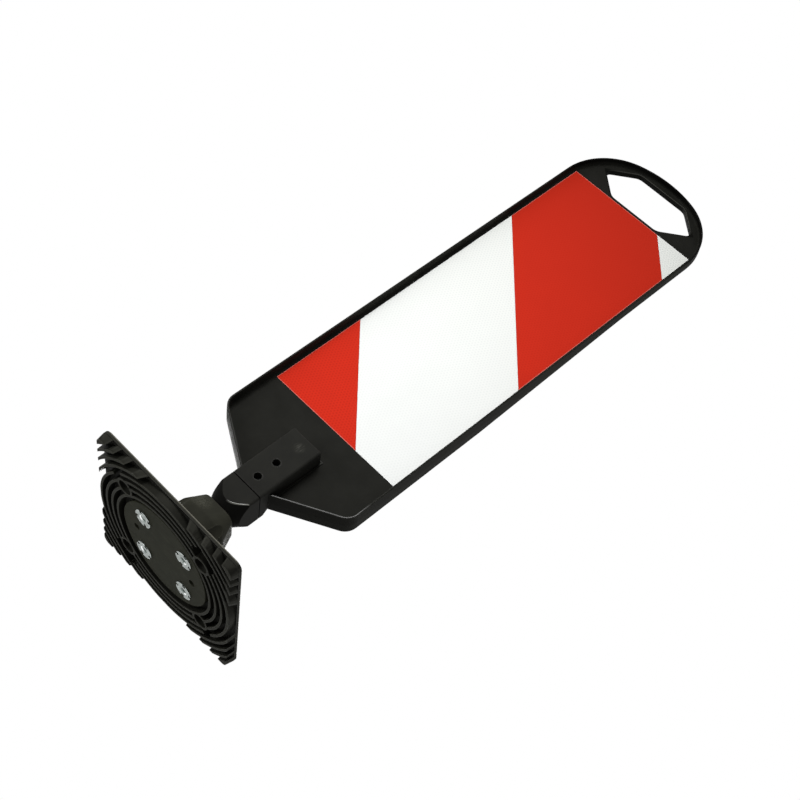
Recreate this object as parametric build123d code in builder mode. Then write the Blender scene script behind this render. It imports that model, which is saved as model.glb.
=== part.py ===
from build123d import *
import os
from math import atan, atan2, cos, degrees, pi, radians, sin, sqrt, tan

# Traffic delineation panel: a striped board on a square foot, joined by a sprung rocking neck.
# Millimetres. Z is up from the underside of the foot, the striped face looks along -Y.
# The board and the neck stand on the middle of the foot.

# Foot: a plate on concentric ribs, open at its sides
base_side = 218.0
base_corner_r = 10.0
base_height = 15.0
plate_t = 5.0
plate_edge_r = 2.0
rib_t = 3.2
rib_pitch = 9.6
rib_count = 8
rib_end_inset = 2.0
corner_block_depth = 8.0
relief_gap = 4.3
relief_length = 20.0
relief_short_w = 16.0
relief_long_w = 34.0
relief_shift = 9.0
anchor_offset = 62.0
anchor_hole_r = 9.5
anchor_wall = 2.8

# Disc under the foot and its prong nuts
disc_r = 68.5
disc_gap = 6.9
disc_bottom_z = 1.8
disc_edge_r = 0.8
disc_hole_r = 4.5
disc_hole_offset = 46.0
nut_flange_r = 12.0
nut_flange_t = 1.5
nut_wall = 1.2
nut_barrel_gap = 0.1
nut_barrel_short = 0.3
nut_notch_w = 5.0
nut_notch_depth = 4.0
nut_mouth = 1.0
nut_turns = (-20.0, 20.0, 17.0, 5.0)
prong_count = 4
prong_w = 3.2
prong_t = 1.3
prong_h = 6.0
prong_r = 7.8
prong_gap = 0.05

# Collar screws, M8
m8_r = 4.0
m8_head_flats = 13.0
m8_head_h = 5.3
m8_clearance = 0.5
m8_end_z = 2.6
m8_washer_r = 8.0
m8_washer_t = 1.6
bolt_offset = 33.4
thread_gap = 0.05
wrench_room = 4.2

# Collar: a square neck that flares down in two steps to a bolted foot
collar_top_z = 78.0
collar_rim_w = 2.9
collar_top_corner_r = 12.0
collar_waist_z = 55.0
collar_waist_r = 8.0
collar_flare = 0.46
collar_skirt_flare = 0.1
collar_edge_r = 2.0
collar_foot_half = 44.0
collar_foot_t = 8.0
collar_foot_corner_r = 10.0
cavity_r = 20.0
web_bottom_z = 60.0
web_top_z = 68.5

# Rocking seat: cone of the knuckle, bearing sleeve and socket of the collar
cone_rim_r = 17.1
cone_slope = 0.59
plug_bottom_z = 69.5
running_gap = 0.3
sleeve_t = 2.0
sleeve_stand = 0.4

# Tension cable and its spring
cable_r = 3.0
cable_passage = 1.0
cable_flare_r = 8.0
ferrule_r = 6.0
crimp_gap = 0.05
spring_wire_r = 2.0
spring_mean_r = 14.0
spring_turns = 6
spring_seat_gap = 0.02
spring_washer_r = 18.0
spring_washer_t = 2.5
spring_washer_z = 15.5
lower_ferrule_h = 4.5
upper_ferrule_h = 10.0
upper_washer_r = 10.0
upper_washer_t = 2.0

# Knuckle: square block above its cone, hollow for the arm's spigot
block_half = 23.0
block_edge_r = 3.0
seam_z = 117.5
seam_chamfer = 0.7
cone_edge_r = 0.8
knuckle_bore_r = 12.0
knuckle_floor_z = 88.0
spigot_gap = 0.2
spigot_length = 13.5
pin_r = 2.5
pin_z = 111.0
pin_gap = 0.05
pin_recess = 0.5
pin_tip_y = -16.0

# Arm: grips the foot of the board between two tongues
arm_top_z = 209.0
arm_top_r = 1.5
tongue_back_y = 13.5
shoulder_low_z = 121.0
shoulder_high_z = 130.0
slot_bottom_z = 129.0
slot_gap = 0.05
clamp_low_z = 134.2
clamp_high_z = 161.5
clamp_hole_r = 4.8
barrel_gap = 0.1
barrel_length = 10.5
barrel_slot_w = 1.6
barrel_slot_depth = 2.0
m6_r = 3.0
m6_clearance = 0.3
m6_head_flats = 10.0
m6_head_h = 4.0
m6_length = 24.0
m6_washer_r = 6.0
m6_washer_t = 1.6
spot_face_gap = 0.5

# Board: a floor with a rim that is deepest at the foot
board_half = 105.8
board_top_z = 862.5
board_tip_z = 116.4
board_foot_slope = 30.0
board_foot_corner_r = 20.0
shoulder_r = 86.0
crown_r = 152.0
floor_t = 3.0
rim_t = 2.6
rim_draft = 1.2
rim_floor_r = 2.6
rim_edge_r = 0.7
rim_front_low = 15.0
rim_front_low_z = 200.0
rim_front_high = 11.2
rim_front_high_z = 780.0
rim_back = 13.6
rim_back_full_z = 390.0
rim_back_end_z = 640.0
notch_gap = 0.3
notch_top_z = 146.0
foot_cut_gap = 0.5
ridge_w = 1.8
ridge_h = 1.2

# Hand hole: a flat hexagon with rounded corners and a pad behind it
hand_top_inset = 11.3
hand_h = 60.6
hand_flat_half = 39.0
hand_point_inset = 30.1
hand_flat_r = 16.0
hand_point_r = 7.0
hand_edge_r = 1.5
hand_pad_w = 4.8
hand_pad_t = 5.5
near = 0.01

# Reflective sheeting in four slanting cuts
film_margin = 4.3
film_hand_gap = 4.9
film_bottom_z = 251.2
film_t = 0.4
film_gap = 0.2
stripe_angle = 45.0
stripe_first_run = 135.3
stripe_last_run = 54.0

# Worked out from the sizes above
plate_bottom_z = base_height - plate_t
corner_reach = sqrt(2) * (base_side / 2 - base_corner_r) + base_corner_r
corner_block_r = corner_reach - corner_block_depth
rib_first_r = disc_r + disc_gap + rib_t / 2
relief_start = sqrt(2) * anchor_offset + relief_gap
collar_foot_top_z = base_height + collar_foot_t
bolt_seat_z = collar_foot_top_z + m8_washer_t
across = sqrt(1 + cone_slope**2)
sleeve_inner_r = cone_rim_r + running_gap * across
sleeve_outer_r = sleeve_inner_r + sleeve_t * across
socket_rim_r = sleeve_outer_r + running_gap * across
collar_top_half = socket_rim_r + collar_rim_w
waist_grow = collar_flare * (collar_top_z - collar_waist_z)
foot_grow = waist_grow + collar_skirt_flare * (collar_waist_z - collar_foot_top_z)
cable_bore_r = cable_r + cable_passage
spring_bottom_z = spring_washer_z + spring_washer_t
cable_bottom_z = spring_washer_z - lower_ferrule_h
ferrule_bottom_z = knuckle_floor_z + upper_washer_t
cable_top_z = ferrule_bottom_z + upper_ferrule_h
floor_half = floor_t / 2
slot_half = floor_half + slot_gap
m6_seat_y = tongue_back_y + m6_washer_t
rim_front_rate = (rim_front_low - rim_front_high) / (rim_front_high_z - rim_front_low_z)
crown_z = board_top_z - crown_r
shoulder_z = crown_z + sqrt((crown_r - shoulder_r)**2 - (board_half - shoulder_r)**2)
shoulder_turn = degrees(atan2(shoulder_z - crown_z, board_half - shoulder_r))
hand_top_z = board_top_z - hand_top_inset
hand_bottom_z = hand_top_z - hand_h
hand_middle_z = (hand_bottom_z + hand_top_z) / 2
hand_point_half = board_half - hand_point_inset
film_w = 2 * (board_half - rim_t - film_margin)
film_h = hand_bottom_z - film_hand_gap - film_bottom_z
stripe_rise = film_w / 2 * tan(radians(stripe_angle))
stripe_low = -stripe_rise
stripe_high = stripe_rise + film_h
stripe_first = stripe_low + stripe_first_run
stripe_last = stripe_high - stripe_last_run
stripes = [stripe_low, stripe_first, (stripe_first + stripe_last) / 2, stripe_last, stripe_high]
notch_half = block_half + notch_gap
ridge_top_z = arm_top_z + notch_gap + ridge_w
nut_barrel_r = m8_r + thread_gap + nut_wall


def cone_r(z, rim_r):
    return rim_r + cone_slope * (z - collar_top_z)


def neck_section(z, grow):
    side = 2 * (collar_top_half + grow)
    with BuildSketch(Plane.XY.offset(z)) as section:
        RectangleRounded(side, side, collar_top_corner_r + grow)
    return section.sketch


def rim_front(z):
    return rim_front_low - rim_front_rate * (z - rim_front_low_z)


def board_outline(plane, inset):
    half = board_half - inset
    tip_z = board_tip_z + inset / cos(radians(board_foot_slope))
    corner_z = tip_z + half * tan(radians(board_foot_slope))
    with BuildSketch(plane) as outline:
        with BuildLine():
            Line((0, tip_z), (half, corner_z))
            Line((half, corner_z), (half, shoulder_z))
            CenterArc((board_half - shoulder_r, shoulder_z), shoulder_r - inset, 0, shoulder_turn)
            CenterArc((0, crown_z), crown_r - inset, shoulder_turn, 90 - shoulder_turn)
            mirror(about=Plane.YZ)
        make_face()
        fillet(outline.vertices().group_by(Axis.Y)[1], board_foot_corner_r - inset)
    return outline.sketch


def arm_notch(front, top_z):
    with BuildSketch(Plane.XZ.offset(front)) as notch:
        with Locations((0, (board_tip_z + top_z) / 2)):
            Rectangle(2 * notch_half, top_z - board_tip_z)
    return notch.sketch


def hand_hole(plane, grow):
    points = [
        (hand_flat_half, hand_bottom_z),
        (hand_point_half, hand_middle_z),
        (hand_flat_half, hand_top_z),
        (-hand_flat_half, hand_top_z),
        (-hand_point_half, hand_middle_z),
        (-hand_flat_half, hand_bottom_z),
    ]
    with BuildSketch(plane) as hole:
        with BuildLine():
            Polyline(*points, close=True)
        make_face()
        corners = hole.vertices().group_by(Axis.X)
        fillet(corners[1] + corners[2], hand_flat_r)
        ends = hole.vertices().group_by(Axis.X)
        fillet(ends[0] + ends[-1], hand_point_r)
        if grow:
            offset(amount=grow)
    return hole.sketch


def prong(center, angle, grow):
    outward = Vector(cos(radians(angle)), sin(radians(angle)), 0)
    across_prong = Vector(-outward.Y, outward.X, 0)
    start = Vector(center[0], center[1], disc_bottom_z) + outward * (prong_r - prong_t / 2 - grow)
    half = prong_w / 2 + grow
    with BuildSketch(Plane(origin=start, x_dir=across_prong, z_dir=outward)) as shape:
        with BuildLine():
            Polyline((-half, 0), (half, 0), (0, prong_h + grow), close=True)
        make_face()
    return extrude(shape.sketch, amount=prong_t + 2 * grow)


def film_piece(low, high):
    half = film_w / 2
    gap = film_gap / 2 / cos(radians(stripe_angle))
    with BuildSketch(Plane.XZ.offset(floor_half)) as piece:
        with BuildLine():
            Polyline(
                (-half, film_bottom_z + low + gap + stripe_rise),
                (half, film_bottom_z + low + gap - stripe_rise),
                (half, film_bottom_z + high - gap - stripe_rise),
                (-half, film_bottom_z + high - gap + stripe_rise),
                close=True,
            )
        make_face()
        with Locations((0, film_bottom_z + film_h / 2)):
            Rectangle(film_w, film_h, mode=Mode.INTERSECT)
    return extrude(piece.sketch, amount=film_t)


bolt_points = [(sx * bolt_offset, sy * bolt_offset) for sx in (-1, 1) for sy in (-1, 1)]
anchor_points = [(sx * anchor_offset, sy * anchor_offset) for sx in (-1, 1) for sy in (-1, 1)]
nuts = list(zip(bolt_points, nut_turns))
prong_angles = [360 * step / prong_count for step in range(prong_count)]
clamp_heights = (clamp_low_z, clamp_high_z)

os.makedirs("parts", exist_ok=True)

# Foot plate with its ribs, corner blocks and anchor tubes
with BuildPart() as base_plate:
    with BuildSketch(Plane.XY):
        for step in reversed(range(rib_count)):
            Circle(rib_first_r + step * rib_pitch + rib_t / 2)
            Circle(rib_first_r + step * rib_pitch - rib_t / 2, mode=Mode.SUBTRACT)
        with PolarLocations(relief_start + relief_length / 2, 2, start_angle=45):
            Rectangle(relief_length, relief_short_w, mode=Mode.SUBTRACT)
        with PolarLocations(relief_start + relief_length / 2, 2, start_angle=135):
            with Locations((0, -relief_shift)):
                Rectangle(relief_length, relief_long_w, mode=Mode.SUBTRACT)
        with Locations(*anchor_points):
            Circle(anchor_hole_r + anchor_wall)
    extrude(amount=plate_bottom_z)
    with BuildSketch(Plane.XY):
        Rectangle(base_side, base_side)
        Circle(corner_block_r, mode=Mode.SUBTRACT)
    extrude(amount=plate_bottom_z)
    with BuildSketch(Plane.XY.offset(plate_bottom_z)):
        RectangleRounded(base_side, base_side, base_corner_r)
    extrude(amount=-plate_bottom_z, taper=degrees(atan(rib_end_inset / plate_bottom_z)), mode=Mode.INTERSECT)
    with BuildSketch(Plane.XY.offset(plate_bottom_z)):
        RectangleRounded(base_side, base_side, base_corner_r)
        Circle(cavity_r, mode=Mode.SUBTRACT)
        with Locations(*bolt_points):
            Circle(m8_r + m8_clearance, mode=Mode.SUBTRACT)
    extrude(amount=plate_t)
    fillet(base_plate.faces().sort_by(Axis.Z)[-1].outer_wire().edges(), plate_edge_r)
    with BuildSketch(Plane.XY):
        with Locations(*anchor_points):
            Circle(anchor_hole_r)
    extrude(amount=base_height, mode=Mode.SUBTRACT)
base_plate.part.label = "base_plate"
export_step(base_plate.part, "parts/base_plate.step")

# Disc that closes the foot from below and takes the prong nuts
with BuildPart() as bottom_disc:
    with BuildSketch(Plane.XY.offset(disc_bottom_z)):
        Circle(disc_r)
        with Locations(*bolt_points):
            Circle(nut_barrel_r + nut_barrel_gap, mode=Mode.SUBTRACT)
        with Locations((-disc_hole_offset, 0), (disc_hole_offset, 0)):
            Circle(disc_hole_r, mode=Mode.SUBTRACT)
    extrude(amount=plate_bottom_z - disc_bottom_z)
    fillet(bottom_disc.faces().sort_by(Axis.Z)[0].outer_wire().edges(), disc_edge_r)
    for point, turn in nuts:
        for angle in prong_angles:
            add(prong(point, turn + angle, prong_gap), mode=Mode.SUBTRACT)
bottom_disc.part.label = "bottom_disc"
export_step(bottom_disc.part, "parts/bottom_disc.step")

# Four prong nuts: a notched flange, a threaded barrel and bent-up prongs
with BuildPart() as tee_nuts:
    with BuildSketch(Plane.XY.offset(disc_bottom_z)):
        for point, turn in nuts:
            with Locations(point):
                Circle(nut_flange_r)
                Circle(m8_r + thread_gap, mode=Mode.SUBTRACT)
                with PolarLocations(nut_flange_r, prong_count, start_angle=turn):
                    Rectangle(2 * nut_notch_depth, nut_notch_w, mode=Mode.SUBTRACT)
    extrude(amount=-nut_flange_t)
    with BuildSketch(Plane.XY.offset(disc_bottom_z)):
        with Locations(*bolt_points):
            Circle(nut_barrel_r)
            Circle(m8_r + thread_gap, mode=Mode.SUBTRACT)
    extrude(amount=plate_bottom_z - nut_barrel_short - disc_bottom_z)
    with BuildSketch(Plane.XY.offset(disc_bottom_z - nut_flange_t)):
        with Locations(*bolt_points):
            Circle(m8_r + thread_gap + nut_mouth)
    extrude(amount=nut_mouth + thread_gap, taper=45, mode=Mode.SUBTRACT)
    for point, turn in nuts:
        for angle in prong_angles:
            add(prong(point, turn + angle, 0))
tee_nuts.part.label = "tee_nuts"
export_step(tee_nuts.part, "parts/tee_nuts.step")

# Flaring neck with its bolted foot, spring chamber and conical socket
with BuildPart() as neck_collar:
    with BuildSketch(Plane.XY.offset(base_height)):
        RectangleRounded(2 * collar_foot_half, 2 * collar_foot_half, collar_foot_corner_r)
    extrude(amount=collar_foot_t)
    fillet(neck_collar.faces().sort_by(Axis.Z)[-1].edges(), collar_edge_r)
    extrude(
        neck_section(collar_foot_top_z, foot_grow),
        amount=collar_waist_z - collar_foot_top_z,
        taper=degrees(atan(collar_skirt_flare)),
    )
    extrude(
        neck_section(collar_waist_z, waist_grow),
        amount=collar_top_z - collar_waist_z,
        taper=degrees(atan(collar_flare)),
    )
    waist = neck_collar.edges().filter_by(lambda edge: abs(edge.center().Z - collar_waist_z) < collar_edge_r)
    fillet(waist, collar_waist_r)
    fillet(neck_collar.faces().sort_by(Axis.Z)[-1].edges(), collar_edge_r)
    with BuildSketch(Plane.XY.offset(collar_foot_top_z)):
        with Locations(*bolt_points):
            Circle(m8_washer_r + wrench_room)
    extrude(amount=collar_top_z - collar_foot_top_z, mode=Mode.SUBTRACT)
    with BuildSketch(Plane.XY.offset(base_height)):
        with Locations(*bolt_points):
            Circle(m8_r + m8_clearance)
    extrude(amount=collar_foot_t, mode=Mode.SUBTRACT)
    with BuildSketch(Plane.XZ):
        with BuildLine():
            Polyline(
                (0, base_height),
                (cavity_r, base_height),
                (cavity_r, web_bottom_z),
                (cable_bore_r, web_bottom_z),
                (cable_bore_r, web_top_z - cable_flare_r + cable_bore_r),
                (cable_flare_r, web_top_z),
                (cone_r(web_top_z, socket_rim_r), web_top_z),
                (socket_rim_r, collar_top_z),
                (0, collar_top_z),
                close=True,
            )
        make_face()
    revolve(axis=Axis.Z, mode=Mode.SUBTRACT)
neck_collar.part.label = "neck_collar"
export_step(neck_collar.part, "parts/neck_collar.step")

# Washers and hexagon screws that hold the collar to the foot
with BuildPart() as collar_washers:
    with BuildSketch(Plane.XY.offset(collar_foot_top_z)):
        with Locations(*bolt_points):
            Circle(m8_washer_r)
            Circle(m8_r + m8_clearance, mode=Mode.SUBTRACT)
    extrude(amount=m8_washer_t)
collar_washers.part.label = "collar_washers"
export_step(collar_washers.part, "parts/collar_washers.step")

with BuildPart() as collar_bolts:
    with BuildSketch(Plane.XY.offset(bolt_seat_z)):
        with Locations(*bolt_points):
            RegularPolygon(m8_head_flats / 2, 6, major_radius=False)
    extrude(amount=m8_head_h)
    with BuildSketch(Plane.XY.offset(m8_end_z)):
        with Locations(*bolt_points):
            Circle(m8_r)
    extrude(amount=bolt_seat_z - m8_end_z)
collar_bolts.part.label = "collar_bolts"
export_step(collar_bolts.part, "parts/collar_bolts.step")

# Bearing sleeve that the knuckle's cone rocks in
with BuildPart() as seat_sleeve:
    sleeve_top_z = collar_top_z + sleeve_stand
    with BuildSketch(Plane.XZ):
        with BuildLine():
            Polyline(
                (cone_r(plug_bottom_z, sleeve_inner_r), plug_bottom_z),
                (cone_r(plug_bottom_z, sleeve_outer_r), plug_bottom_z),
                (cone_r(sleeve_top_z, sleeve_outer_r), sleeve_top_z),
                (cone_r(sleeve_top_z, sleeve_inner_r), sleeve_top_z),
                close=True,
            )
        make_face()
    revolve(axis=Axis.Z)
seat_sleeve.part.label = "seat_sleeve"
export_step(seat_sleeve.part, "parts/seat_sleeve.step")

# Steel cable from the spring up into the knuckle, and the ends crimped on it
with BuildPart() as tension_cable:
    with BuildSketch(Plane.XY.offset(cable_bottom_z)):
        Circle(cable_r)
    extrude(amount=cable_top_z - cable_bottom_z)
tension_cable.part.label = "tension_cable"
export_step(tension_cable.part, "parts/tension_cable.step")

with BuildPart() as lower_ferrule:
    with BuildSketch(Plane.XY.offset(cable_bottom_z)):
        Circle(ferrule_r)
        Circle(cable_r + crimp_gap, mode=Mode.SUBTRACT)
    extrude(amount=lower_ferrule_h)
lower_ferrule.part.label = "lower_ferrule"
export_step(lower_ferrule.part, "parts/lower_ferrule.step")

with BuildPart() as upper_ferrule:
    with BuildSketch(Plane.XY.offset(ferrule_bottom_z)):
        Circle(ferrule_r)
        Circle(cable_r + crimp_gap, mode=Mode.SUBTRACT)
    extrude(amount=upper_ferrule_h)
upper_ferrule.part.label = "upper_ferrule"
export_step(upper_ferrule.part, "parts/upper_ferrule.step")

with BuildPart() as spring_washer:
    with BuildSketch(Plane.XY.offset(spring_washer_z)):
        Circle(spring_washer_r)
        Circle(cable_bore_r, mode=Mode.SUBTRACT)
    extrude(amount=spring_washer_t)
spring_washer.part.label = "spring_washer"
export_step(spring_washer.part, "parts/spring_washer.step")

with BuildPart() as upper_washer:
    with BuildSketch(Plane.XY.offset(knuckle_floor_z)):
        Circle(upper_washer_r)
        Circle(cable_bore_r, mode=Mode.SUBTRACT)
    extrude(amount=upper_washer_t)
upper_washer.part.label = "upper_washer"
export_step(upper_washer.part, "parts/upper_washer.step")

# Coil spring: one tube on two tangent arcs for each quarter turn
coil_bottom_z = spring_bottom_z + spring_wire_r + spring_seat_gap
coil_rise = web_bottom_z - spring_wire_r - spring_seat_gap - coil_bottom_z


def coil_point(turn):
    angle = 2 * pi * turn
    height = coil_bottom_z + coil_rise * turn / spring_turns
    return Vector(spring_mean_r * cos(angle), spring_mean_r * sin(angle), height)


def coil_direction(turn):
    angle = 2 * pi * turn
    climb = coil_rise / (2 * pi * spring_turns)
    return Vector(-spring_mean_r * sin(angle), spring_mean_r * cos(angle), climb).normalized()


with BuildPart() as compression_spring:
    with BuildLine() as coil:
        for quarter in range(4 * spring_turns):
            start = coil_point(quarter / 4)
            end = coil_point((quarter + 1) / 4)
            leave = coil_direction(quarter / 4)
            arrive = coil_direction((quarter + 1) / 4)
            span = end - start
            bend = 2 * (1 - leave.dot(arrive))
            along = span.dot(leave + arrive)
            reach = (sqrt(along**2 + bend * span.dot(span)) - along) / bend
            middle = (start + end + (leave - arrive) * reach) / 2
            TangentArc(start, middle, tangent=leave)
            TangentArc(middle, end, tangent=arrive * -1, tangent_from_first=False)
    with BuildSketch(Plane(origin=coil_point(0), z_dir=coil_direction(0))):
        Circle(spring_wire_r)
    sweep()
compression_spring.part.label = "compression_spring"
export_step(compression_spring.part, "parts/compression_spring.step")
coil_gap = min((coil_point(n / 40) - coil_point(n / 40 + 1)).length for n in range(40)) - 2 * spring_wire_r
print("least gap between the spring's turns:", round(coil_gap, 2), "mm")

# Square knuckle, cut to a cone below, hollow above for the ferrule and the spigot
with BuildPart() as knuckle:
    with BuildSketch(Plane.XY.offset(plug_bottom_z)):
        RectangleRounded(2 * block_half, 2 * block_half, block_edge_r)
    extrude(amount=seam_z - plug_bottom_z)
    chamfer(knuckle.faces().sort_by(Axis.Z)[-1].edges(), seam_chamfer)
    with BuildSketch(Plane.XZ):
        with BuildLine():
            Polyline(
                (0, plug_bottom_z),
                (cone_r(plug_bottom_z, cone_rim_r), plug_bottom_z),
                (cone_r(seam_z, cone_rim_r), seam_z),
                (0, seam_z),
                close=True,
            )
        make_face()
    revolve(axis=Axis.Z, mode=Mode.INTERSECT)
    cone = knuckle.faces().filter_by(GeomType.CONE).sort_by(SortBy.AREA)[-1]
    arcs = cone.edges().filter_by(lambda edge: edge.center().Z > collar_top_z)
    fillet(arcs, cone_edge_r)
    with BuildSketch(Plane.XZ):
        with BuildLine():
            Polyline(
                (0, plug_bottom_z),
                (cable_flare_r, plug_bottom_z),
                (cable_bore_r, plug_bottom_z + cable_flare_r - cable_bore_r),
                (cable_bore_r, knuckle_floor_z),
                (knuckle_bore_r, knuckle_floor_z),
                (knuckle_bore_r, seam_z),
                (0, seam_z),
                close=True,
            )
        make_face()
    revolve(axis=Axis.Z, mode=Mode.SUBTRACT)
    with BuildSketch(Plane.XZ.offset(-pin_tip_y)):
        with Locations((0, pin_z)):
            Circle(pin_r + pin_gap)
    extrude(amount=pin_tip_y - block_half, mode=Mode.SUBTRACT)
knuckle.part.label = "knuckle"
export_step(knuckle.part, "parts/knuckle.step")

# Arm: block, two tongues round the board's foot, and the spigot that enters the knuckle
with BuildPart() as clamp_arm:
    with BuildSketch(Plane.YZ):
        with BuildLine():
            Polyline(
                (-block_half, seam_z),
                (block_half, seam_z),
                (block_half, shoulder_low_z),
                (tongue_back_y, shoulder_high_z),
                (tongue_back_y, arm_top_z),
                (slot_half, arm_top_z),
                (slot_half, slot_bottom_z),
                (-slot_half, slot_bottom_z),
                (-slot_half, arm_top_z),
                (-block_half, arm_top_z),
                close=True,
            )
        make_face()
    extrude(amount=block_half, both=True)
    upright = clamp_arm.edges().filter_by(Axis.Z)
    fillet(upright.group_by(Axis.Y)[0] + upright.group_by(Axis.Y)[-1], block_edge_r)
    front_tongue = clamp_arm.faces().filter_by(Axis.Z).group_by(Axis.Z)[-1].sort_by(Axis.Y)[0]
    fillet(front_tongue.edges(), arm_top_r)
    chamfer(clamp_arm.faces().sort_by(Axis.Z)[0].edges(), seam_chamfer)
    with BuildSketch(Plane.XY.offset(seam_z)):
        Circle(knuckle_bore_r - spigot_gap)
    extrude(amount=-spigot_length)
    with BuildSketch(Plane.XZ.offset(-block_half)):
        with Locations((0, pin_z)):
            Circle(pin_r + pin_gap)
    extrude(amount=2 * block_half, mode=Mode.SUBTRACT)
    with BuildSketch(Plane.XZ):
        with Locations(*[(0, height) for height in clamp_heights]):
            Circle(clamp_hole_r)
    extrude(amount=block_half, mode=Mode.SUBTRACT)
    with BuildSketch(Plane.XZ):
        with Locations(*[(0, height) for height in clamp_heights]):
            Circle(m6_r + m6_clearance)
    extrude(amount=-tongue_back_y, mode=Mode.SUBTRACT)
    with BuildSketch(Plane.XZ.offset(-tongue_back_y)):
        with Locations(*[(0, height) for height in clamp_heights]):
            Circle(m6_washer_r + spot_face_gap)
    extrude(amount=tongue_back_y - block_half, mode=Mode.SUBTRACT)
clamp_arm.part.label = "clamp_arm"
export_step(clamp_arm.part, "parts/clamp_arm.step")

# Cross pin driven in from the back, through knuckle and spigot
with BuildPart() as retaining_pin:
    with BuildSketch(Plane.XZ.offset(-pin_tip_y)):
        with Locations((0, pin_z)):
            Circle(pin_r)
    extrude(amount=pin_tip_y - block_half + pin_recess)
retaining_pin.part.label = "retaining_pin"
export_step(retaining_pin.part, "parts/retaining_pin.step")

# Clamp screws from the back, their washers, and the barrel nuts in the front holes
with BuildPart() as clamp_washers:
    with BuildSketch(Plane.XZ.offset(-tongue_back_y)):
        with Locations(*[(0, height) for height in clamp_heights]):
            Circle(m6_washer_r)
            Circle(m6_r + m6_clearance, mode=Mode.SUBTRACT)
    extrude(amount=-m6_washer_t)
clamp_washers.part.label = "clamp_washers"
export_step(clamp_washers.part, "parts/clamp_washers.step")

with BuildPart() as clamp_bolts:
    with BuildSketch(Plane.XZ.offset(-m6_seat_y)):
        with Locations(*[(0, height) for height in clamp_heights]):
            RegularPolygon(m6_head_flats / 2, 6, major_radius=False)
    extrude(amount=-m6_head_h)
    with BuildSketch(Plane.XZ.offset(-m6_seat_y)):
        with Locations(*[(0, height) for height in clamp_heights]):
            Circle(m6_r)
    extrude(amount=m6_length)
clamp_bolts.part.label = "clamp_bolts"
export_step(clamp_bolts.part, "parts/clamp_bolts.step")

with BuildPart() as clamp_barrels:
    with BuildSketch(Plane.XZ.offset(floor_half)):
        with Locations(*[(0, height) for height in clamp_heights]):
            Circle(clamp_hole_r - barrel_gap)
            Circle(m6_r + thread_gap, mode=Mode.SUBTRACT)
    extrude(amount=barrel_length)
    with BuildSketch(Plane.XZ.offset(floor_half + barrel_length)):
        with Locations(*[(0, height) for height in clamp_heights]):
            Rectangle(2 * clamp_hole_r, barrel_slot_w)
    extrude(amount=-barrel_slot_depth, mode=Mode.SUBTRACT)
clamp_barrels.part.label = "clamp_barrels"
export_step(clamp_barrels.part, "parts/clamp_barrels.step")

# Board: floor and rim, cut to the rim's taper, with the hand hole and the arm's notch
with BuildPart() as panel_board:
    deepest = max(rim_front(board_tip_z), rim_back)
    extrude(board_outline(Plane.XZ, 0), amount=deepest, taper=rim_draft)
    extrude(board_outline(Plane.XZ, 0), amount=deepest, dir=(0, 1, 0), taper=rim_draft)
    extrude(board_outline(Plane.XZ.offset(floor_half), rim_t), amount=deepest, mode=Mode.SUBTRACT)
    fillet(panel_board.faces().filter_by(Axis.Y).sort_by(Axis.Y)[1].edges(), rim_floor_r)
    extrude(board_outline(Plane.XZ.offset(-floor_half), rim_t), amount=-deepest, mode=Mode.SUBTRACT)
    with BuildSketch(Plane.YZ):
        with BuildLine():
            Polyline(
                (-rim_front(board_tip_z), board_tip_z),
                (rim_back, board_tip_z),
                (rim_back, rim_back_full_z),
                (floor_half, rim_back_end_z),
                (floor_half, board_top_z),
                (-rim_front(board_top_z), board_top_z),
                close=True,
            )
        make_face()
    extrude(amount=board_half, both=True, mode=Mode.INTERSECT)
    lip = panel_board.faces().sort_by(Axis.Y)[0]
    fillet(lip.edges(), rim_edge_r)
    with BuildSketch(Plane.XZ.offset(floor_half)):
        with Locations((0, (board_tip_z + ridge_top_z) / 2)):
            Rectangle(2 * (notch_half + ridge_w), ridge_top_z - board_tip_z)
    extrude(amount=ridge_h)
    extrude(arm_notch(floor_half, ridge_top_z - ridge_w), amount=ridge_h, mode=Mode.SUBTRACT)
    extrude(arm_notch(floor_half, notch_top_z), amount=deepest, mode=Mode.SUBTRACT)
    extrude(arm_notch(-floor_half, notch_top_z), amount=-deepest, mode=Mode.SUBTRACT)
    extrude(arm_notch(0, slot_bottom_z + foot_cut_gap), amount=deepest, both=True, mode=Mode.SUBTRACT)
    extrude(hand_hole(Plane.XZ.offset(-floor_half), hand_pad_w), amount=-hand_pad_t)
    extrude(board_outline(Plane.XZ, 0), amount=deepest, both=True, mode=Mode.INTERSECT)
    extrude(hand_hole(Plane.XZ, 0), amount=deepest, both=True, mode=Mode.SUBTRACT)
    upright = panel_board.faces().filter_by(Axis.Y)
    level = upright.filter_by(lambda face: abs(face.center().Y + floor_half) < near)
    front_floor = level.sort_by(SortBy.AREA)[-1]
    hand_rim = front_floor.inner_wires().sort_by(SortBy.LENGTH)[-1]
    fillet(hand_rim.edges(), hand_edge_r)
    with BuildSketch(Plane.XZ):
        with Locations(*[(0, height) for height in clamp_heights]):
            Circle(m6_r + m6_clearance)
    extrude(amount=floor_t, both=True, mode=Mode.SUBTRACT)
panel_board.part.label = "panel_board"
export_step(panel_board.part, "parts/panel_board.step")

# Sheeting: red and white by turns, from the lower left corner to the upper right
with BuildPart() as film_red_lower:
    add(film_piece(stripes[0], stripes[1]))
film_red_lower.part.label = "film_red_lower"
export_step(film_red_lower.part, "parts/film_red_lower.step")

with BuildPart() as film_white_middle:
    add(film_piece(stripes[1], stripes[2]))
film_white_middle.part.label = "film_white_middle"
export_step(film_white_middle.part, "parts/film_white_middle.step")

with BuildPart() as film_red_upper:
    add(film_piece(stripes[2], stripes[3]))
film_red_upper.part.label = "film_red_upper"
export_step(film_red_upper.part, "parts/film_red_upper.step")

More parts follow.
